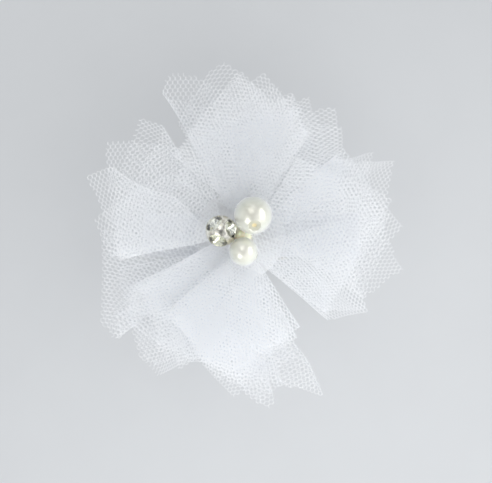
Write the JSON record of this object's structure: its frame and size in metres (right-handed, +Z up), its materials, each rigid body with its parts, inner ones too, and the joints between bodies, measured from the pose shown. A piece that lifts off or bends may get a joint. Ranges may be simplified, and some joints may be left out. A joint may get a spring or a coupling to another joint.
{
  "type": "flower hair clip",
  "caption": "Hair clip: folded tulle flower with pearl and rhinestone beads at its centre, on a ribbon-lined sprung alligator clip that grips hair.",
  "frame": {"origin": "on the clip's flat underside, below the flower's centre", "axes": "+Z up through the flower's face; the clip's jaws point to -X and its lever to +X; +Y across the clip"},
  "size_m": [0.0668, 0.0717, 0.0237],
  "materials": {
    "nickel_steel": "bright nickel-plated stamped steel",
    "spring_steel": "drawn spring wire",
    "white_ribbon": "white ribbed grosgrain ribbon",
    "clear_glue": "clear hot-melt glue with an amber tint",
    "white_felt": "white craft felt",
    "white_tulle": "white hexagonal netting, raw cut edges",
    "white_thread": "white sewing thread",
    "ivory_pearl": "ivory pearlescent coating",
    "silver_plate": "warm silver plating",
    "crystal": "clear foil-backed cut glass"
  },
  "bodies": {
    "lower_jaw": {"lower_arm": "nickel_steel", "hinge_pin": "nickel_steel", "torsion_spring": "spring_steel"},
    "flower_jaw": {"upper_arm": "nickel_steel", "ribbon_lining": "white_ribbon", "clip_glue": "clear_glue", "felt_base": "white_felt", "lower_petal_upper_left": "white_tulle", "lower_petal_upper_right": "white_tulle", "lower_petal_right": "white_tulle", "lower_petal_bottom": "white_tulle", "lower_petal_lower_left": "white_tulle", "upper_petal_top": "white_tulle", "upper_petal_right": "white_tulle", "upper_petal_bottom": "white_tulle", "upper_petal_lower_left": "white_tulle", "upper_petal_left": "white_tulle", "thread_binding": "white_thread", "bead_glue": "clear_glue", "large_pearl": "ivory_pearl", "small_pearl": "ivory_pearl", "ball_setting": "silver_plate", "crystal_1": "crystal", "crystal_2": "crystal", "crystal_3": "crystal", "crystal_4": "crystal", "crystal_5": "crystal", "crystal_6": "crystal"}
  },
  "joints": [
    {"name": "clip_hinge", "type": "hinge", "parent": "lower_jaw", "child": "flower_jaw", "pos_m": [0.009, 0, 0.004], "axis": [0, 1, 0], "range_deg": [0, 24], "stiffness_Nm_per_rad": 0.05, "springref_deg": -20.05, "deforming": ["torsion_spring"]}
  ]
}
